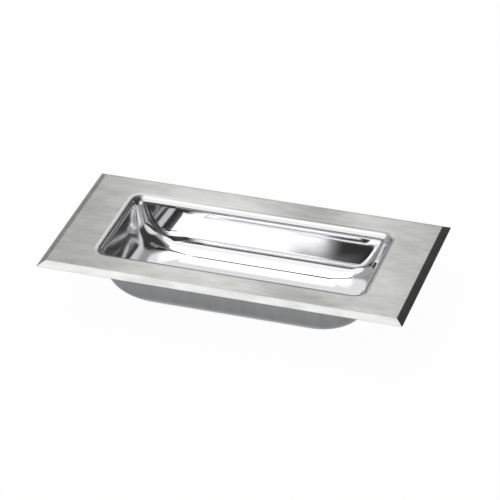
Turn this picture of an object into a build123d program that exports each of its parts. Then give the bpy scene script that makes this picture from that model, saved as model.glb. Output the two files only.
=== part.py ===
# A rectangular recessed pull, deep drawn in one piece from stainless steel sheet.
# +X runs along the pull, +Y across it and +Z out of the door. The origin is the centre of the
# plane on which the flange seats: the flange stands above it and the pocket hangs below.

from math import asin, atan, cos, degrees, pi, radians, sin, sqrt, tan
import os

from build123d import *

# Flange: a flat plate whose four edges are ground to a long bevel with mitred corners.
flange_length = 127.0
flange_width = 63.5
sheet = 1.5
bevel_run = 2.4
edge_land = 0.1
fold_radius = 0.8

# Mouth: where the pocket's walls would meet the flange's top face if nothing were rounded.
mouth_length = 91.5
mouth_width = 37.2
mouth_corner = 2.5
shoulder_radius = 2.9

# Pocket: the sides stand nearly upright and bend tightly; the ends lean more and scoop down in a
# bend twice as large. Its plan corners are tight at the mouth and open out towards the floor.
pocket_depth = 18.8
end_lean = radians(9)
end_bend = 12.0
side_lean = radians(2.5)
side_bend = 6.2
floor_corner = 10.0
stations = 12


def half_span(mouth, lean, bend, depth, below):
    # Half the pocket's size at one depth: a leaning wall, then an arc onto the flat floor.
    bend = min(bend, depth / (1 - sin(lean)))
    wall_end = depth - bend * (1 - sin(lean))
    if below <= wall_end:
        return mouth / 2 - below * tan(lean)
    centre = mouth / 2 - wall_end * tan(lean) - bend * cos(lean)
    rise = bend - (depth - below)
    return centre + sqrt(bend**2 - rise**2)


def skin_section(below, grow):
    # Half length, half width and corner radius of the inner skin, or of one grown by the sheet.
    depth = pocket_depth + grow
    long_mouth = mouth_length + 2 * grow / cos(end_lean)
    cross_mouth = mouth_width + 2 * grow / cos(side_lean)
    half_length = half_span(long_mouth, end_lean, end_bend + grow, depth, below)
    half_width = half_span(cross_mouth, side_lean, side_bend + grow, depth, below)
    corner = mouth_corner + grow + (floor_corner - mouth_corner) * below / depth
    return half_length, half_width, min(corner, 0.97 * half_width)


def pocket_skin(top, grow):
    # Loft one skin of the pocket through sections that crowd together towards its flat floor.
    depth = pocket_depth + grow
    first = asin((sheet - top) / depth)
    with BuildPart() as skin:
        for station in range(stations + 1):
            below = depth * sin(first + (pi / 2 - first) * station / stations)
            half_length, half_width, corner = skin_section(below, grow)
            with BuildSketch(Plane.XY.offset(sheet - below)):
                RectangleRounded(2 * half_length, 2 * half_width, corner)
        loft()
        split(bisect_by=Plane.XY.offset(sheet - depth), keep=Keep.TOP)
    return skin.part


outer_skin = pocket_skin(0, sheet)
inner_skin = pocket_skin(sheet, 0)

with BuildPart() as pull:
    with BuildSketch():
        Rectangle(flange_length, flange_width)
    extrude(amount=edge_land)
    with BuildSketch(Plane.XY.offset(edge_land)):
        Rectangle(flange_length, flange_width)
    bevel_height = sheet - edge_land
    extrude(amount=bevel_height, taper=degrees(atan(bevel_run / bevel_height)))
    fold = pull.faces().sort_by(Axis.Z)[-1]
    fillet(fold.outer_wire().edges(), radius=fold_radius)
    add(outer_skin)
    add(inner_skin, mode=Mode.SUBTRACT)
    flats = pull.faces().filter_by(Axis.Z)
    mouth = flats.sort_by(Axis.Z)[-1]
    fillet(mouth.inner_wires()[0].edges(), radius=shoulder_radius)
    seat = [face for face in pull.faces().filter_by(Axis.Z) if abs(face.center().Z) < edge_land / 2][0]
    fillet(seat.inner_wires()[0].edges(), radius=shoulder_radius - sheet)

pull.part.label = "pull"
os.makedirs("parts", exist_ok=True)
export_step(pull.part, "parts/pull.step")
print("volume", pull.part.volume, "box", pull.part.bounding_box())
print("solids", len(pull.part.solids()), "valid", pull.part.is_valid)
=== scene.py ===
from math import cos, pi, radians, sin

import bpy
from mathutils import Matrix, Vector


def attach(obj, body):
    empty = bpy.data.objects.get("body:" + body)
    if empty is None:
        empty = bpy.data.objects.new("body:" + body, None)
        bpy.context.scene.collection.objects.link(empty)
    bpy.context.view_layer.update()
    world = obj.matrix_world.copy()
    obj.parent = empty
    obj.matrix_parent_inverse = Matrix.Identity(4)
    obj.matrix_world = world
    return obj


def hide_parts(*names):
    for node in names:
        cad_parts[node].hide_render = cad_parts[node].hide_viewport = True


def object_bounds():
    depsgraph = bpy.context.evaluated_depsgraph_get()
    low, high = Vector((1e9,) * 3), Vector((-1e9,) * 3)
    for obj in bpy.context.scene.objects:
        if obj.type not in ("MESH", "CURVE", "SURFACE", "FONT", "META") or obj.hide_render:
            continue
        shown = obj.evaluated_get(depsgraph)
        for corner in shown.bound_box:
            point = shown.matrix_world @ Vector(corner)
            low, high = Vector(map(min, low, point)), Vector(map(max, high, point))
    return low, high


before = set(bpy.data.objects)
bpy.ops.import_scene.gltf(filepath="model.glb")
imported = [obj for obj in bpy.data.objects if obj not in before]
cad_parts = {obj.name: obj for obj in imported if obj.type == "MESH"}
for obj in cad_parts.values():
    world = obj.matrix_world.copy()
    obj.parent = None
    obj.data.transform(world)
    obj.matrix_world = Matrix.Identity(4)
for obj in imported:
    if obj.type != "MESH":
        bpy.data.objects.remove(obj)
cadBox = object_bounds()
scene = bpy.context.scene
print("stage 1: frame loaded")


def toLinear(hexColour):
    # sRGB hex to the linear colour that a node takes
    parts = [int(hexColour[i:i + 2], 16) / 255 for i in (0, 2, 4)]
    linear = [c / 12.92 if c <= 0.04045 else ((c + 0.055) / 1.055) ** 2.4 for c in parts]
    return (*linear, 1.0)


def addNode(tree, kind, ins=(), **settings):
    # ins is a list in socket order, or a dict by name or place, of values, sockets or nodes
    node = tree.nodes.new(kind)
    for name, value in settings.items():
        setattr(node, name, value)
    pairs = ins.items() if isinstance(ins, dict) else enumerate(ins)
    for key, value in pairs:
        if isinstance(value, bpy.types.Node):
            value = value.outputs[0]
        if isinstance(value, bpy.types.NodeSocket):
            tree.links.new(value, node.inputs[key])
        elif value is not None:
            node.inputs[key].default_value = value
    return node


# the drawn sheet, in metres, with the same sizes as the CAD part
pullSizes = {
    "Flange Length": 0.127,
    "Flange Width": 0.0635,
    "Sheet": 0.0015,
    "Bevel Run": 0.0024,
    "Edge Land": 0.0001,
    "Fold Radius": 0.0008,
    "Edge Corner": 0.00025,  # the sharp corners are just broken
    "Mouth Length": 0.0915,
    "Mouth Width": 0.0372,
    "Mouth Corner": 0.0025,
    "Shoulder Radius": 0.0029,
    "Pocket Depth": 0.0188,
    "End Lean": radians(9),
    "End Bend": 0.012,
    "Side Lean": radians(2.5),
    "Side Bend": 0.0062,
    "Floor Corner": 0.01,
}

# how finely it is meshed
pullSteps = {
    "around": 84,  # steps in each quarter of a ring
    "inner": 110,  # rings down the inner skin
    "outer": 60,  # rings down the outer skin
    "floor": 8,  # how many of those rings close the flat floor
    "fold": 8,  # rings over the fold of the flange
    "guard": 0.0004,  # flat strip beside the fold, which keeps its shading clean
    "fullest": 0.97,  # largest plan corner, as a share of the pocket's half width
    "weld": 0.000002,  # points nearer than this become one
    "smooth": radians(33),  # an edge that turns less than this is shaded smooth
}


def newTree(name, inputs, outputs):
    tree = bpy.data.node_groups.new(name, "GeometryNodeTree")
    for socket in inputs:
        tree.interface.new_socket(socket, in_out="INPUT", socket_type="NodeSocketFloat")
    for socket, kind in outputs:
        tree.interface.new_socket(socket, in_out="OUTPUT", socket_type=kind)
    return tree


def makeSpanTree():
    # half the pocket's span at one depth: shoulder arc, leaning wall, bend onto the floor
    g = newTree("halfSpan", ["Mouth", "Lean", "Bend", "Depth", "Shoulder", "Below"],
                [("Span", "NodeSocketFloat")])
    mouth, lean, bend, depth, shoulder, below = list(addNode(g, "NodeGroupInput").outputs)[:6]
    halfMouth = addNode(g, "ShaderNodeMath", [mouth, 2], operation="DIVIDE")
    sinLean = addNode(g, "ShaderNodeMath", [lean], operation="SINE")
    cosLean = addNode(g, "ShaderNodeMath", [lean], operation="COSINE")
    tanLean = addNode(g, "ShaderNodeMath", [lean], operation="TANGENT")
    shortfall = addNode(g, "ShaderNodeMath", [1, sinLean], operation="SUBTRACT")
    # shoulder: an arc that starts level with the flange
    halfTurn = addNode(g, "ShaderNodeMath", [lean, -0.5, pi / 4], operation="MULTIPLY_ADD")
    halfTan = addNode(g, "ShaderNodeMath", [halfTurn], operation="TANGENT")
    rim = addNode(g, "ShaderNodeMath", [shoulder, halfTan, halfMouth], operation="MULTIPLY_ADD")
    shoulderEnd = addNode(g, "ShaderNodeMath", [shoulder, shortfall], operation="MULTIPLY")
    rise = addNode(g, "ShaderNodeMath", [shoulder, below], operation="SUBTRACT")
    shoulderSq = addNode(g, "ShaderNodeMath", [shoulder, shoulder], operation="MULTIPLY")
    riseSq = addNode(g, "ShaderNodeMath", [rise, rise], operation="MULTIPLY")
    gap = addNode(g, "ShaderNodeMath", [shoulderSq, riseSq], operation="SUBTRACT")
    gapSafe = addNode(g, "ShaderNodeMath", [gap, 0], operation="MAXIMUM")
    chord = addNode(g, "ShaderNodeMath", [gapSafe], operation="SQRT")
    onShoulder = addNode(g, "ShaderNodeMath", [rim, chord], operation="SUBTRACT")
    # wall
    drop = addNode(g, "ShaderNodeMath", [below, tanLean], operation="MULTIPLY")
    onWall = addNode(g, "ShaderNodeMath", [halfMouth, drop], operation="SUBTRACT")
    # bend
    bendHeight = addNode(g, "ShaderNodeMath", [bend, shortfall], operation="MULTIPLY")
    wallEnd = addNode(g, "ShaderNodeMath", [depth, bendHeight], operation="SUBTRACT")
    wallDrop = addNode(g, "ShaderNodeMath", [wallEnd, tanLean], operation="MULTIPLY")
    wallFoot = addNode(g, "ShaderNodeMath", [halfMouth, wallDrop], operation="SUBTRACT")
    inward = addNode(g, "ShaderNodeMath", [bend, cosLean], operation="MULTIPLY")
    centre = addNode(g, "ShaderNodeMath", [wallFoot, inward], operation="SUBTRACT")
    left = addNode(g, "ShaderNodeMath", [depth, below], operation="SUBTRACT")
    bendRise = addNode(g, "ShaderNodeMath", [bend, left], operation="SUBTRACT")
    bendSq = addNode(g, "ShaderNodeMath", [bend, bend], operation="MULTIPLY")
    bendRiseSq = addNode(g, "ShaderNodeMath", [bendRise, bendRise], operation="MULTIPLY")
    bendGap = addNode(g, "ShaderNodeMath", [bendSq, bendRiseSq], operation="SUBTRACT")
    bendSafe = addNode(g, "ShaderNodeMath", [bendGap, 0], operation="MAXIMUM")
    bendChord = addNode(g, "ShaderNodeMath", [bendSafe], operation="SQRT")
    onBend = addNode(g, "ShaderNodeMath", [centre, bendChord], operation="ADD")
    # the depth tells which of the three holds
    pastShoulder = addNode(g, "ShaderNodeMath", [below, shoulderEnd], operation="GREATER_THAN")
    pastWall = addNode(g, "ShaderNodeMath", [below, wallEnd], operation="GREATER_THAN")
    upper = addNode(g, "ShaderNodeMix", {"Factor": pastShoulder, "A": onShoulder, "B": onWall})
    span = addNode(g, "ShaderNodeMix", {"Factor": pastWall, "A": upper, "B": onBend})
    addNode(g, "NodeGroupOutput", [span])
    return g


def makeRingTree():
    # a point on a rectangle with rounded corners; Turn counts its quarters from 0 to 4
    g = newTree("ringPoint", ["Half Length", "Half Width", "Corner", "Height", "Turn"],
                [("Point", "NodeSocketVector")])
    halfLength, halfWidth, corner, height, turn = list(addNode(g, "NodeGroupInput").outputs)[:5]
    quarter = addNode(g, "ShaderNodeMath", [turn], operation="FLOOR")
    share = addNode(g, "ShaderNodeMath", [turn], operation="FRACT")
    # the first half of each quarter goes round the corner and the second along the side
    onArc = addNode(g, "ShaderNodeMath", [share, 2], operation="MULTIPLY", use_clamp=True)
    onSide = addNode(g, "ShaderNodeMath", [share, 2, -1], operation="MULTIPLY_ADD", use_clamp=True)
    arcTurn = addNode(g, "ShaderNodeMath", [quarter, onArc], operation="ADD")
    angle = addNode(g, "ShaderNodeMath", [arcTurn, pi / 2], operation="MULTIPLY")
    # the diagonals towards this corner and the next one give the signs of their x and y
    here = addNode(g, "ShaderNodeMath", [quarter, pi / 2, pi / 4], operation="MULTIPLY_ADD")
    there = addNode(g, "ShaderNodeMath", [quarter, pi / 2, 3 * pi / 4], operation="MULTIPLY_ADD")
    done = []
    for half, wave in ((halfLength, "COSINE"), (halfWidth, "SINE")):
        hereSide = addNode(g, "ShaderNodeMath", [here], operation=wave)
        thereSide = addNode(g, "ShaderNodeMath", [there], operation=wave)
        side = addNode(g, "ShaderNodeMix", {"Factor": onSide, "A": hereSide, "B": thereSide})
        sign = addNode(g, "ShaderNodeMath", [side, 2 ** 0.5], operation="MULTIPLY")
        straight = addNode(g, "ShaderNodeMath", [half, corner], operation="SUBTRACT")
        bow = addNode(g, "ShaderNodeMath", [angle], operation=wave)
        reach = addNode(g, "ShaderNodeMath", [bow, corner], operation="MULTIPLY")
        done.append(addNode(g, "ShaderNodeMath", [sign, straight, reach],
                            operation="MULTIPLY_ADD"))
    point = addNode(g, "ShaderNodeCombineXYZ", [*done, height])
    addNode(g, "NodeGroupOutput", [point])
    return g


def makeSkinTree(spanTree, ringTree):
    # one skin of the pocket: rings down the walls, then rings that close the flat floor
    g = newTree("pocketSkin", [*pullSizes, "Grow", "Rings"], [("Skin", "NodeSocketGeometry")])
    given = addNode(g, "NodeGroupInput").outputs
    grow = given["Grow"]
    cells = addNode(g, "ShaderNodeMath", [given["Rings"], 1], operation="ADD")
    grid = addNode(g, "GeometryNodeMeshGrid",
                   {"Size X": given["Rings"], "Size Y": 4.0,
                    "Vertices X": cells, "Vertices Y": 4 * pullSteps["around"] + 1})
    at = addNode(g, "ShaderNodeSeparateXYZ", [addNode(g, "GeometryNodeInputPosition")])
    half = addNode(g, "ShaderNodeMath", [given["Rings"], 2], operation="DIVIDE")
    ring = addNode(g, "ShaderNodeMath", [at.outputs["X"], half], operation="ADD")
    turn = addNode(g, "ShaderNodeMath", [at.outputs["Y"], 2], operation="ADD")
    # the last rings lie on the floor
    floorRings = pullSteps["floor"]
    last = addNode(g, "ShaderNodeMath", [given["Rings"], floorRings], operation="SUBTRACT")
    down = addNode(g, "ShaderNodeMath", [ring, last], operation="DIVIDE", use_clamp=True)
    past = addNode(g, "ShaderNodeMath", [ring, last], operation="SUBTRACT")
    inward = addNode(g, "ShaderNodeMath", [past, floorRings], operation="DIVIDE", use_clamp=True)
    # rings crowd together at the shoulder and at the floor, where the section turns
    swing = addNode(g, "ShaderNodeMath", [down, pi], operation="MULTIPLY")
    wave = addNode(g, "ShaderNodeMath", [swing], operation="COSINE")
    fall = addNode(g, "ShaderNodeMath", [wave, -0.5, 0.5], operation="MULTIPLY_ADD")
    # the outer skin is measured from the seat, one sheet lower
    depth = addNode(g, "ShaderNodeMath", [given["Pocket Depth"], grow], operation="ADD")
    start = addNode(g, "ShaderNodeMath", [grow], operation="ABSOLUTE")
    travel = addNode(g, "ShaderNodeMath", [depth, start], operation="SUBTRACT")
    sunk = addNode(g, "ShaderNodeMath", [fall, travel, start], operation="MULTIPLY_ADD")
    below = addNode(g, "ShaderNodeMath", [sunk, start], operation="SUBTRACT")
    shoulder = addNode(g, "ShaderNodeMath", [given["Shoulder Radius"], grow],
                       operation="SUBTRACT")
    spans = []
    for mouthName, leanName, bendName in (("Mouth Length", "End Lean", "End Bend"),
                                          ("Mouth Width", "Side Lean", "Side Bend")):
        lean = given[leanName]
        cosLean = addNode(g, "ShaderNodeMath", [lean], operation="COSINE")
        wider = addNode(g, "ShaderNodeMath", [grow, cosLean], operation="DIVIDE")
        twice = addNode(g, "ShaderNodeMath", [wider, 2], operation="MULTIPLY")
        tanLean = addNode(g, "ShaderNodeMath", [lean], operation="TANGENT")
        lost = addNode(g, "ShaderNodeMath", [start, tanLean], operation="MULTIPLY")
        lostTwice = addNode(g, "ShaderNodeMath", [lost, 2], operation="MULTIPLY")
        grown = addNode(g, "ShaderNodeMath", [given[mouthName], twice], operation="ADD")
        mouth = addNode(g, "ShaderNodeMath", [grown, lostTwice], operation="SUBTRACT")
        bend = addNode(g, "ShaderNodeMath", [given[bendName], grow], operation="ADD")
        span = addNode(g, "GeometryNodeGroup",
                       {"Mouth": mouth, "Lean": lean, "Bend": bend, "Depth": travel,
                        "Shoulder": shoulder, "Below": below}, node_tree=spanTree)
        spans.append((span, mouth))
    halfLength = spans[0][0]
    halfWidth, crossMouth = spans[1]
    # the corner opens with depth and with the shoulder
    share = addNode(g, "ShaderNodeMath", [sunk, depth], operation="DIVIDE")
    extra = addNode(g, "ShaderNodeMath", [given["Floor Corner"], given["Mouth Corner"]],
                    operation="SUBTRACT")
    opened = addNode(g, "ShaderNodeMath", [share, extra, given["Mouth Corner"]],
                     operation="MULTIPLY_ADD")
    grownCorner = addNode(g, "ShaderNodeMath", [opened, grow], operation="ADD")
    halfMouth = addNode(g, "ShaderNodeMath", [crossMouth, 2], operation="DIVIDE")
    outside = addNode(g, "ShaderNodeMath", [halfWidth, halfMouth], operation="SUBTRACT")
    flare = addNode(g, "ShaderNodeMath", [outside, 0], operation="MAXIMUM")
    free = addNode(g, "ShaderNodeMath", [grownCorner, flare], operation="ADD")
    most = addNode(g, "ShaderNodeMath", [halfWidth, pullSteps["fullest"]], operation="MULTIPLY")
    corner = addNode(g, "ShaderNodeMath", [free, most], operation="MINIMUM")
    height = addNode(g, "ShaderNodeMath", [given["Sheet"], sunk], operation="SUBTRACT")
    place = addNode(g, "GeometryNodeGroup", [halfLength, halfWidth, corner, height, turn],
                    node_tree=ringTree)
    # on the floor the rings shrink to the middle
    left = addNode(g, "ShaderNodeMath", [1, inward], operation="SUBTRACT")
    squeeze = addNode(g, "ShaderNodeCombineXYZ", [left, left, 1.0])
    shrunk = addNode(g, "ShaderNodeVectorMath", [place, squeeze], operation="MULTIPLY")
    moved = addNode(g, "GeometryNodeSetPosition", {"Geometry": grid, "Position": shrunk})
    addNode(g, "NodeGroupOutput", [moved])
    return g


def makeRimTree(ringTree):
    # the flange: mouth, fold, ground bevel, edge, and the seat underneath
    g = newTree("flangeRim", list(pullSizes), [("Rim", "NodeSocketGeometry")])
    given = addNode(g, "NodeGroupInput").outputs
    # ring 0 mouth, 1 just inside the fold, 2 to fold + 2 the fold, then land top, land foot, seat
    fold = pullSteps["fold"]
    rings = fold + 6
    grid = addNode(g, "GeometryNodeMeshGrid",
                   {"Size X": float(rings - 1), "Size Y": 4.0,
                    "Vertices X": rings, "Vertices Y": 4 * pullSteps["around"] + 1})
    at = addNode(g, "ShaderNodeSeparateXYZ", [addNode(g, "GeometryNodeInputPosition")])
    ring = addNode(g, "ShaderNodeMath", [at.outputs["X"], (rings - 1) / 2], operation="ADD")
    turn = addNode(g, "ShaderNodeMath", [at.outputs["Y"], 2], operation="ADD")
    # the fold is an arc that turns from the flat face to the bevel's slope
    bevelHeight = addNode(g, "ShaderNodeMath", [given["Sheet"], given["Edge Land"]],
                          operation="SUBTRACT")
    slope = addNode(g, "ShaderNodeMath", [bevelHeight, given["Bevel Run"]], operation="ARCTAN2")
    halfSlope = addNode(g, "ShaderNodeMath", [slope, 0.5], operation="MULTIPLY")
    halfTan = addNode(g, "ShaderNodeMath", [halfSlope], operation="TANGENT")
    foldStart = addNode(g, "ShaderNodeMath", [given["Fold Radius"], halfTan, given["Bevel Run"]],
                        operation="MULTIPLY_ADD")
    step = addNode(g, "ShaderNodeMath", [ring, -2], operation="ADD")
    turned = addNode(g, "ShaderNodeMath", [step, fold], operation="DIVIDE", use_clamp=True)
    angle = addNode(g, "ShaderNodeMath", [turned, slope], operation="MULTIPLY")
    sinAngle = addNode(g, "ShaderNodeMath", [angle], operation="SINE")
    cosAngle = addNode(g, "ShaderNodeMath", [angle], operation="COSINE")
    out = addNode(g, "ShaderNodeMath", [given["Fold Radius"], sinAngle], operation="MULTIPLY")
    foldInset = addNode(g, "ShaderNodeMath", [foldStart, out], operation="SUBTRACT")
    sag = addNode(g, "ShaderNodeMath", [1, cosAngle], operation="SUBTRACT")
    foldDrop = addNode(g, "ShaderNodeMath", [given["Fold Radius"], sag], operation="MULTIPLY")
    foldHeight = addNode(g, "ShaderNodeMath", [given["Sheet"], foldDrop], operation="SUBTRACT")
    # each ring's distance in from the flange's edge, and its height
    atLand = addNode(g, "ShaderNodeMath", [ring, fold + 2.5], operation="GREATER_THAN")
    atFoot = addNode(g, "ShaderNodeMath", [ring, fold + 3.5], operation="GREATER_THAN")
    atSeat = addNode(g, "ShaderNodeMath", [ring, fold + 4.5], operation="GREATER_THAN")
    atMouth = addNode(g, "ShaderNodeMath", [ring, 0.5], operation="LESS_THAN")
    atGuard = addNode(g, "ShaderNodeMath", [ring, 1.5], operation="LESS_THAN")
    guardStep = addNode(g, "ShaderNodeMath", [atGuard, pullSteps["guard"], foldInset],
                        operation="MULTIPLY_ADD")
    inset = addNode(g, "ShaderNodeMix", {"Factor": atLand, "A": guardStep, "B": 0.0})
    landHeight = addNode(g, "ShaderNodeMix", {"Factor": atFoot, "A": given["Edge Land"], "B": 0.0})
    height = addNode(g, "ShaderNodeMix", {"Factor": atLand, "A": foldHeight, "B": landHeight})
    tight = addNode(g, "ShaderNodeMath", [given["Shoulder Radius"], given["Sheet"]],
                    operation="SUBTRACT")
    spans = []
    for size, mouthName, leanName in (("Flange Length", "Mouth Length", "End Lean"),
                                      ("Flange Width", "Mouth Width", "Side Lean")):
        lean = given[leanName]
        halfSize = addNode(g, "ShaderNodeMath", [given[size], 0.5], operation="MULTIPLY")
        edge = addNode(g, "ShaderNodeMath", [halfSize, inset], operation="SUBTRACT")
        halfMouth = addNode(g, "ShaderNodeMath", [given[mouthName], 0.5], operation="MULTIPLY")
        halfTurn = addNode(g, "ShaderNodeMath", [lean, -0.5, pi / 4], operation="MULTIPLY_ADD")
        turnTan = addNode(g, "ShaderNodeMath", [halfTurn], operation="TANGENT")
        rim = addNode(g, "ShaderNodeMath", [given["Shoulder Radius"], turnTan, halfMouth],
                      operation="MULTIPLY_ADD")
        # the seat starts where the outer skin's smaller shoulder meets it
        cosLean = addNode(g, "ShaderNodeMath", [lean], operation="COSINE")
        tanLean = addNode(g, "ShaderNodeMath", [lean], operation="TANGENT")
        skin = addNode(g, "ShaderNodeMath", [given["Sheet"], cosLean], operation="DIVIDE")
        lost = addNode(g, "ShaderNodeMath", [given["Sheet"], tanLean], operation="MULTIPLY")
        seatWall = addNode(g, "ShaderNodeMath", [skin, lost], operation="SUBTRACT")
        seatHalf = addNode(g, "ShaderNodeMath", [halfMouth, seatWall], operation="ADD")
        seat = addNode(g, "ShaderNodeMath", [tight, turnTan, seatHalf], operation="MULTIPLY_ADD")
        inner = addNode(g, "ShaderNodeMix", {"Factor": atMouth, "A": edge, "B": rim})
        span = addNode(g, "ShaderNodeMix", {"Factor": atSeat, "A": inner, "B": seat})
        rimFlare = addNode(g, "ShaderNodeMath", [rim, halfMouth], operation="SUBTRACT")
        seatFlare = addNode(g, "ShaderNodeMath", [seat, seatHalf], operation="SUBTRACT")
        spans.append(span)
    # the corners grow with the shoulder of the long sides, the last one made above
    mouthCorner = addNode(g, "ShaderNodeMath", [given["Mouth Corner"], rimFlare], operation="ADD")
    seatBase = addNode(g, "ShaderNodeMath", [given["Mouth Corner"], given["Sheet"]],
                       operation="ADD")
    seatCorner = addNode(g, "ShaderNodeMath", [seatBase, seatFlare], operation="ADD")
    innerCorner = addNode(g, "ShaderNodeMix", {"Factor": atMouth, "A": given["Edge Corner"],
                                               "B": mouthCorner})
    corner = addNode(g, "ShaderNodeMix", {"Factor": atSeat, "A": innerCorner, "B": seatCorner})
    place = addNode(g, "GeometryNodeGroup", [*spans, corner, height, turn], node_tree=ringTree)
    # a face lies midway between its rings, so only the seat's faces are past this
    under = addNode(g, "ShaderNodeMath", [ring, fold + 4.2], operation="GREATER_THAN")
    marked = addNode(g, "GeometryNodeStoreNamedAttribute",
                     {"Geometry": grid, "Name": "underside", "Value": under}, domain="FACE")
    moved = addNode(g, "GeometryNodeSetPosition", {"Geometry": marked, "Position": place})
    addNode(g, "NodeGroupOutput", [moved])
    return g


def makePullTree(finishes):
    # the whole sheet: flange, inner skin and outer skin, joined into one closed shell
    spanTree, ringTree = makeSpanTree(), makeRingTree()
    skinTree, rimTree = makeSkinTree(spanTree, ringTree), makeRimTree(ringTree)
    g = newTree("drawnPull", list(pullSizes), [("Pull", "NodeSocketGeometry")])
    given = addNode(g, "NodeGroupInput").outputs
    sizes = {name: given[name] for name in pullSizes}
    rim = addNode(g, "GeometryNodeGroup", sizes, node_tree=rimTree)
    inner = addNode(g, "GeometryNodeGroup", {**sizes, "Rings": pullSteps["inner"]},
                    node_tree=skinTree)
    outer = addNode(g, "GeometryNodeGroup", {**sizes, "Rings": pullSteps["outer"],
                                             "Grow": given["Sheet"]}, node_tree=skinTree)
    markedInner = addNode(g, "GeometryNodeStoreNamedAttribute",
                          {"Geometry": inner, "Name": "pocket", "Value": 1.0}, domain="FACE")
    markedOuter = addNode(g, "GeometryNodeStoreNamedAttribute",
                          {"Geometry": outer, "Name": "underside", "Value": 1.0}, domain="FACE")
    turned = addNode(g, "GeometryNodeFlipFaces", [markedOuter])
    joined = addNode(g, "GeometryNodeJoinGeometry")
    for part in (turned, markedInner, rim):
        g.links.new(part.outputs[0], joined.inputs[0])
    merged = addNode(g, "GeometryNodeMergeByDistance",
                     {"Geometry": joined, "Distance": pullSteps["weld"]})
    bend = addNode(g, "GeometryNodeInputMeshEdgeAngle")
    crease = addNode(g, "ShaderNodeMath", [bend.outputs["Unsigned Angle"], pullSteps["smooth"]],
                     operation="LESS_THAN")
    faces = addNode(g, "GeometryNodeSetShadeSmooth", {"Geometry": merged}, domain="FACE")
    edges = addNode(g, "GeometryNodeSetShadeSmooth", {"Geometry": faces, "Shade Smooth": crease},
                    domain="EDGE")
    # the grain runs along the pull, so U follows X, from 0 at one end to 1 at the other
    perMetre = 1 / pullSizes["Flange Length"]
    grain = addNode(g, "ShaderNodeVectorMath", [addNode(g, "GeometryNodeInputPosition"),
                                                (perMetre, perMetre, 1.0), (0.5, 0.5, 0.0)],
                    operation="MULTIPLY_ADD")
    mapped = addNode(g, "GeometryNodeStoreNamedAttribute",
                     {"Geometry": edges, "Name": "UVMap", "Value": grain},
                     data_type="FLOAT2", domain="CORNER")
    real = addNode(g, "GeometryNodeRealizeInstances", [mapped])
    done = addNode(g, "GeometryNodeSetMaterial", {"Geometry": real, "Material": finishes[0]})
    for name, finish in (("pocket", finishes[1]), ("underside", finishes[2])):
        marks = addNode(g, "GeometryNodeInputNamedAttribute", {"Name": name})
        chosen = addNode(g, "ShaderNodeMath", [marks, 0.5], operation="GREATER_THAN")
        done = addNode(g, "GeometryNodeSetMaterial",
                       {"Geometry": done, "Selection": chosen, "Material": finish})
    addNode(g, "NodeGroupOutput", [done])
    return g


def newMaterial(name):
    made = bpy.data.materials.new(name)
    made.use_nodes = True
    made.node_tree.nodes.clear()
    return made, made.node_tree


noiseSpan = {"From Min": 0.3, "From Max": 0.7}  # most of a noise texture's values lie between these

# lengths in metres; the tones and the swing go this far either way
satinLook = {
    "colour": "B4B4B3",
    "roughness": 0.32,
    "roughnessSwing": 0.05,
    "grainLength": 0.007,
    "grainWidth": 0.0003,
    "grainHeight": 0.00003,
    "grainRelief": 0.2,  # how strongly its height shows
    "grainTone": 0.07,
    "cloud": 0.005,
    "cloudStretch": (0.5, 1.4, 1.4),  # more than 1 is finer, so the clouds lie along the pull
    "cloudTone": 0.13,
    "sheenSpread": 0.5,
    "sheenTurn": 0.25,  # a quarter turn lays the spread across the grain
}


def makeSatinSteel():
    # satin-brushed stainless: a soft sheen spread across the grain, fine streaks along the pull
    # and the cloudy tone that the belt leaves; real grain is about 0.1 mm wide, and this is drawn
    # three times as coarse so that it shows
    made, t = newMaterial("satinBrushedStainless")
    look = satinLook
    place = addNode(t, "ShaderNodeTexCoord").outputs["Object"]
    width = 1 / look["grainWidth"]
    along = addNode(t, "ShaderNodeMapping",
                    {"Vector": place, "Scale": (1 / look["grainLength"], width, width)})
    fine = addNode(t, "ShaderNodeTexNoise",
                   {"Vector": along, "Scale": 1.0, "Detail": 4.0, "Roughness": 0.65})
    streaks = addNode(t, "ShaderNodeMapRange",
                      {"Value": fine, **noiseSpan,
                       "To Min": -look["grainTone"], "To Max": look["grainTone"]})
    patches = tuple(stretch / look["cloud"] for stretch in look["cloudStretch"])
    spread = addNode(t, "ShaderNodeMapping", {"Vector": place, "Scale": patches})
    soft = addNode(t, "ShaderNodeTexNoise",
                   {"Vector": spread, "Scale": 1.0, "Detail": 3.0, "Roughness": 0.6})
    clouds = addNode(t, "ShaderNodeMapRange",
                     {"Value": soft, **noiseSpan,
                      "To Min": 1 - look["cloudTone"], "To Max": 1 + look["cloudTone"]})
    tone = addNode(t, "ShaderNodeMath", [clouds, streaks], operation="ADD")
    colour = addNode(t, "ShaderNodeVectorMath",
                     {"Vector": toLinear(look["colour"])[:3], "Scale": tone}, operation="SCALE")
    rough = addNode(t, "ShaderNodeMapRange",
                    {"Value": fine, **noiseSpan,
                     "To Min": look["roughness"] - look["roughnessSwing"],
                     "To Max": look["roughness"] + look["roughnessSwing"]})
    bump = addNode(t, "ShaderNodeBump", {"Height": fine, "Strength": look["grainRelief"],
                                         "Distance": look["grainHeight"]})
    grain = addNode(t, "ShaderNodeTangent", direction_type="UV_MAP", uv_map="UVMap")
    shader = addNode(t, "ShaderNodeBsdfPrincipled",
                     {"Base Color": colour, "Metallic": 1.0, "Roughness": rough, "Normal": bump,
                      "Anisotropic": look["sheenSpread"], "Anisotropic Rotation": look["sheenTurn"],
                      "Tangent": grain})
    addNode(t, "ShaderNodeOutputMaterial", [shader])
    return made


polishLook = {
    "colour": "E8E8E9",
    "roughness": 0.045,
    "endRoughness": 0.15,
    "endFrom": 0.038,  # distance from the middle at which the ends begin to dull
    "endTo": 0.045,
    "fade": 0.0017,  # depth over which the satin gives way to the polish
    "ripple": 0.011,
    "rippleHeight": 0.000012,
}


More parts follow.
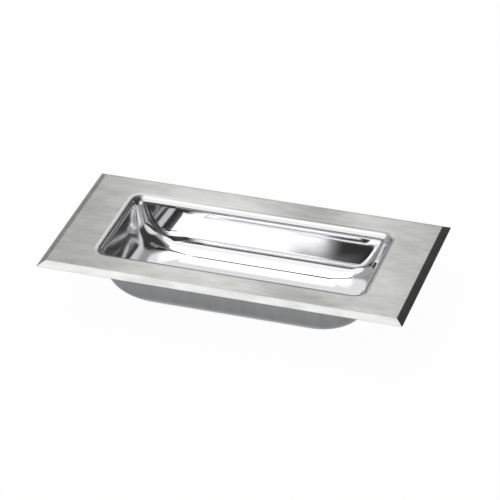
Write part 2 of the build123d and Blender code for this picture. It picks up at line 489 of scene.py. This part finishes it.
def makePolishedSteel():
    # mirror-polished stainless: clear reflections, slightly rippled by the press, duller in the
    # tight ends that the buff hardly reaches, and gone soft over the top of the shoulder, where
    # the satin belt ran over it
    made, t = newMaterial("polishedStainless")
    look = polishLook
    place = addNode(t, "ShaderNodeTexCoord").outputs["Object"]
    spot = addNode(t, "ShaderNodeSeparateXYZ", [place])
    top = pullSizes["Sheet"]
    satin = addNode(t, "ShaderNodeMapRange",
                    {"Value": spot.outputs["Z"], "From Min": top - look["fade"], "From Max": top,
                     "To Min": 0.0, "To Max": 1.0}, interpolation_type="SMOOTHSTEP")
    apart = addNode(t, "ShaderNodeMath", [spot.outputs["X"]], operation="ABSOLUTE")
    dull = addNode(t, "ShaderNodeMapRange",
                   {"Value": apart, "From Min": look["endFrom"], "From Max": look["endTo"],
                    "To Min": look["roughness"], "To Max": look["endRoughness"]},
                   interpolation_type="SMOOTHSTEP")
    rough = addNode(t, "ShaderNodeMix",
                    {"Factor": satin, "A": dull, "B": satinLook["roughness"]})
    colour = addNode(t, "ShaderNodeMix",  # 6 and 7 are its colour sockets
                     {"Factor": satin, 6: toLinear(look["colour"]),
                      7: toLinear(satinLook["colour"])}, data_type="RGBA")
    wide = addNode(t, "ShaderNodeMapping", {"Vector": place, "Scale": (1 / look["ripple"],) * 3})
    ripple = addNode(t, "ShaderNodeTexNoise", {"Vector": wide, "Scale": 1.0, "Detail": 1.0})
    bump = addNode(t, "ShaderNodeBump", {"Height": ripple, "Strength": 1.0,
                                         "Distance": look["rippleHeight"]})
    shader = addNode(t, "ShaderNodeBsdfPrincipled",
                     {"Base Color": colour.outputs[2], "Metallic": 1.0, "Roughness": rough,
                      "Normal": bump})
    addNode(t, "ShaderNodeOutputMaterial", [shader])
    return made


drawnLook = {
    "colour": "9FA0A3",
    "paintedReflectionColour": "DADBDD",
    "paintedReflectionFrom": 0.001,  # height above the floor up to which the bend gets the full painted reflection
    "paintedReflectionTo": 0.0045,
    "smoothest": 0.15,
    "roughest": 0.27,
    "mark": 0.012,
    "markWidth": 0.003,
    "markTone": 0.08,
}


def makeDrawnSteel():
    # stainless as drawn: the hidden side keeps the duller, greyer skin and the upright rub marks
    # that the die leaves; the bend onto the floor is painted brighter, a painted reflection of the
    # pale floor beneath it
    made, t = newMaterial("drawnStainless")
    look = drawnLook
    place = addNode(t, "ShaderNodeTexCoord").outputs["Object"]
    across = 1 / look["markWidth"]
    stretch = addNode(t, "ShaderNodeMapping",
                      {"Vector": place, "Scale": (across, across, 1 / look["mark"])})
    marks = addNode(t, "ShaderNodeTexNoise",
                    {"Vector": stretch, "Scale": 1.0, "Detail": 4.0, "Roughness": 0.6})
    tone = addNode(t, "ShaderNodeMapRange",
                   {"Value": marks, **noiseSpan,
                    "To Min": 1 - look["markTone"], "To Max": 1 + look["markTone"]})
    height = addNode(t, "ShaderNodeSeparateXYZ", [place]).outputs["Z"]
    floorLevel = -pullSizes["Pocket Depth"]
    # painted reflection: the bend's lowest few millimetres are painted brighter, standing in for
    # the pale floor it mirrors
    paintedBandMask = addNode(t, "ShaderNodeMapRange",
                   {"Value": height, "From Min": floorLevel + look["paintedReflectionFrom"],
                    "From Max": floorLevel + look["paintedReflectionTo"], "To Min": 1.0, "To Max": 0.0},
                   interpolation_type="SMOOTHSTEP")
    paintedBand = addNode(t, "ShaderNodeMix",  # 6 and 7 are its colour sockets
                     {"Factor": paintedBandMask, 6: toLinear(look["colour"]),
                      7: toLinear(look["paintedReflectionColour"])}, data_type="RGBA")
    colour = addNode(t, "ShaderNodeVectorMath", {"Vector": paintedBand.outputs[2], "Scale": tone},
                     operation="SCALE")
    rough = addNode(t, "ShaderNodeMapRange",
                    {"Value": marks, **noiseSpan,
                     "To Min": look["smoothest"], "To Max": look["roughest"]})
    shader = addNode(t, "ShaderNodeBsdfPrincipled",
                     {"Base Color": colour, "Metallic": 1.0, "Roughness": rough})
    addNode(t, "ShaderNodeOutputMaterial", [shader])
    return made


def makePull():
    # the tree's result becomes a plain mesh, with its finishes in their own order
    finishes = [makeSatinSteel(), makePolishedSteel(), makeDrawnSteel()]
    tree = makePullTree(finishes)
    seed = bpy.data.objects.new("pullSeed", bpy.data.meshes.new("pullSeed"))
    scene.collection.objects.link(seed)
    modifier = seed.modifiers.new("drawnPull", "NODES")
    modifier.node_group = tree
    for item in tree.interface.items_tree:
        if item.in_out == "INPUT" and item.name in pullSizes:
            modifier[item.identifier] = float(pullSizes[item.name])
    bpy.context.view_layer.update()
    graph = bpy.context.evaluated_depsgraph_get()
    plain = bpy.data.meshes.new_from_object(seed.evaluated_get(graph))
    bpy.data.objects.remove(seed)
    indices = [0] * len(plain.polygons)
    plain.polygons.foreach_get("material_index", indices)
    names = [made.name if made else "" for made in plain.materials]
    finishNames = [finish.name for finish in finishes]
    plain.materials.clear()
    for finish in finishes:
        plain.materials.append(finish)
    plain.polygons.foreach_set("material_index", [finishNames.index(names[i]) for i in indices])
    plain.name = "drawnPull"
    pull = bpy.data.objects.new("drawnPull", plain)
    scene.collection.objects.link(pull)
    return pull


pull = makePull()
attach(pull, "root")
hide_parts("pull")
print("stage 2: pull made,", len(pull.data.polygons), "faces")

floorLook = {
    "colour": "F2F2F0",
    "roughness": 0.8,
    "size": 3.0,
    "gap": 0.0002,  # it lies this far below the pull
    "seenWhite": 0.975,  # share of plain white that the camera sees in it
    "mirroredWhite": 0.45,  # share that the metal mirrors
}


def makeFloor():
    # plain pale floor, shown white, that keeps the pull's faint shadow
    made, t = newMaterial("paleFloor")
    shader = addNode(t, "ShaderNodeBsdfPrincipled",
                     {"Base Color": toLinear(floorLook["colour"]),
                      "Roughness": floorLook["roughness"]})
    glow = addNode(t, "ShaderNodeEmission", {"Color": (1, 1, 1, 1), "Strength": 1.0})
    path = addNode(t, "ShaderNodeLightPath").outputs
    mirrored = addNode(t, "ShaderNodeMath", [path["Is Glossy Ray"], path["Is Transmission Ray"]],
                       operation="MAXIMUM")
    share = addNode(t, "ShaderNodeMath", [mirrored, floorLook["mirroredWhite"]],
                    operation="MULTIPLY")
    seen = addNode(t, "ShaderNodeMath", [path["Is Camera Ray"], floorLook["seenWhite"], share],
                   operation="MULTIPLY_ADD")
    both = addNode(t, "ShaderNodeMixShader", [seen, shader, glow])
    addNode(t, "ShaderNodeOutputMaterial", [both])
    half = floorLook["size"] / 2
    level = cadBox[0][2] - floorLook["gap"]
    corners = [(-half, -half, level), (half, -half, level), (half, half, level),
               (-half, half, level)]
    mesh = bpy.data.meshes.new("floor")
    mesh.from_pydata(corners, [], [(0, 1, 2, 3)])
    mesh.materials.append(made)
    floor = bpy.data.objects.new("floor", mesh)
    scene.collection.objects.link(floor)


makeFloor()


def toward(azimuth, elevation):
    # azimuth 0 is straight behind the pull and 90 is to its right
    a, e = radians(azimuth), radians(elevation)
    return Vector((sin(a) * cos(e), cos(a) * cos(e), sin(e)))


# soft light walls of the studio: azimuth, elevation, half width and soft edge in degrees, and
# brightness; around is the brightness where there is none
studio = {"around": 0.45, "walls": [
    (0, -90, 106, 9, 0.07),
    (-95, 12, 26, 12, 0.42),
    (-155, 45, 28, 9, 1.12),
    (-148, 64, 14, 8, 1.6),
    (-105, 74, 13, 8, 2.1),
    (72, 36, 42, 12, 0.05),
    (130, 12, 14, 12, 0.9),
    (-38, 58, 15, 8, 1.95),
    (-18, 38, 12, 6, 0.85),
    (180, 34, 8, 6, 1.1),
    (-36, 0, 14, 8, 0.25),
]}


def makeWorld():
    # each wall is a soft-edged patch of the sky, laid over the ones before it; the camera itself
    # sees plain white
    world = bpy.data.worlds.new("studio")
    scene.world = world
    world.use_nodes = True
    t = world.node_tree
    t.nodes.clear()
    ray = addNode(t, "ShaderNodeTexCoord").outputs["Generated"]
    light = studio["around"]
    for azimuth, elevation, half, edge, level in studio["walls"]:
        near = addNode(t, "ShaderNodeVectorMath", [ray, toward(azimuth, elevation)],
                       operation="DOT_PRODUCT")
        patch = addNode(t, "ShaderNodeMapRange",
                        {"Value": near.outputs["Value"], "From Min": cos(radians(half + edge)),
                         "From Max": cos(radians(half)), "To Min": 0.0, "To Max": 1.0},
                        interpolation_type="SMOOTHSTEP")
        light = addNode(t, "ShaderNodeMix", {"Factor": patch, "A": light, "B": level})
    path = addNode(t, "ShaderNodeLightPath").outputs
    strength = addNode(t, "ShaderNodeMix", {"Factor": path["Is Camera Ray"], "A": light, "B": 1.0})
    glow = addNode(t, "ShaderNodeBackground", {"Color": (1, 1, 1, 1), "Strength": strength})
    addNode(t, "ShaderNodeOutputWorld", [glow])


makeWorld()

# cards close to the pull, facing it: azimuth, elevation, distance, half width, half height,
# soft edge (metres) and brightness; a dark one is a black flag
cards = {
    "cardBehind": (-16, 37, 0.25, 0.058, 0.052, 0.011, 2),
    "flagCorner": (-6.6, 32.5, 0.15, 0.0135, 0.0115, 0.011, 0.03),
    "flagHigh": (-8, 61, 0.135, 0.014, 0.027, 0.008, 0.03),
    "flagAbove": (0, 72.6, 0.154, 0.075, 0.016, 0.008, 0.25),
    "greyBehind": (-12.6, 35.4, 0.18, 0.018, 0.004, 0.009, 0.5),
    "cardCorner": (19, 24.5, 0.12, 0.012, 0.014, 0.008, 1),
}


def makeCard(name, azimuth, elevation, distance, halfWidth, halfHeight, edge, level):
    # a glowing card that fades out at its edges; only the metal sees it
    made, t = newMaterial(name)
    place = addNode(t, "ShaderNodeTexCoord").outputs["UV"]
    spot = addNode(t, "ShaderNodeSeparateXYZ", [place])
    fades = []
    for axis, half in (("X", halfWidth), ("Y", halfHeight)):
        off = addNode(t, "ShaderNodeMath", [spot.outputs[axis]], operation="ABSOLUTE")
        fades.append(addNode(t, "ShaderNodeMapRange",
                             {"Value": off, "From Min": half - edge / 2,
                              "From Max": half + edge / 2, "To Min": 1.0, "To Max": 0.0},
                             interpolation_type="SMOOTHSTEP"))
    solid = addNode(t, "ShaderNodeMath", fades, operation="MULTIPLY")
    clear = addNode(t, "ShaderNodeBsdfTransparent")
    glow = addNode(t, "ShaderNodeEmission", {"Color": (1, 1, 1, 1), "Strength": level})
    mixed = addNode(t, "ShaderNodeMixShader", [solid, clear, glow])
    addNode(t, "ShaderNodeOutputMaterial", [mixed])
    out = toward(azimuth, elevation)
    right = Vector((cos(radians(azimuth)), -sin(radians(azimuth)), 0))
    up = right.cross(out)
    wide, high = halfWidth + edge / 2, halfHeight + edge / 2
    corners = [(-wide, -high), (wide, -high), (wide, high), (-wide, high)]
    mesh = bpy.data.meshes.new(name)
    mesh.from_pydata([out * distance + right * x + up * y for x, y in corners],
                     [], [(0, 1, 2, 3)])
    layer = mesh.uv_layers.new(name="UVMap")
    for i, corner in enumerate(corners):
        layer.data[i].uv = corner
    mesh.materials.append(made)
    card = bpy.data.objects.new(name, mesh)
    card.visible_camera = False
    card.visible_diffuse = False
    card.visible_shadow = False
    scene.collection.objects.link(card)


for cardName, card in cards.items():
    makeCard(cardName, *card)
print("stage 3: studio lit")

# angles in degrees, distance and shifts in metres, lens and sensor in millimetres
cameraPlace = {
    "azimuth": 18.284,
    "elevation": 32.278,
    "roll": -0.874,
    "distance": 0.9531,
    "shiftRight": 0.0015350,
    "shiftUp": -0.0023228,
    "lens": 202.96,
    "sensor": 36,
    "nearest": 0.01,
}


def makeCamera():
    # it looks at the middle of the flange's face, then slides right and up by its shifts
    c = cameraPlace
    a, e, r = radians(c["azimuth"]), radians(c["elevation"]), radians(c["roll"])
    forward = Vector((-sin(a) * cos(e), cos(a) * cos(e), -sin(e)))
    level = Vector((cos(a), sin(a), 0))
    upright = level.cross(forward)
    right = cos(r) * level + sin(r) * upright
    up = -sin(r) * level + cos(r) * upright
    target = Vector((0, 0, pullSizes["Sheet"]))
    spot = target - forward * c["distance"] + right * c["shiftRight"] + up * c["shiftUp"]
    data = bpy.data.cameras.new("camera")
    data.lens = c["lens"]
    data.sensor_width = c["sensor"]
    data.clip_start = c["nearest"]
    camera = bpy.data.objects.new("camera", data)
    camera.matrix_world = Matrix((
        (right.x, up.x, -forward.x, spot.x),
        (right.y, up.y, -forward.y, spot.y),
        (right.z, up.z, -forward.z, spot.z),
        (0, 0, 0, 1)))
    scene.collection.objects.link(camera)
    scene.camera = camera


makeCamera()
scene.view_settings.view_transform = "Standard"
print("stage 4: camera set")
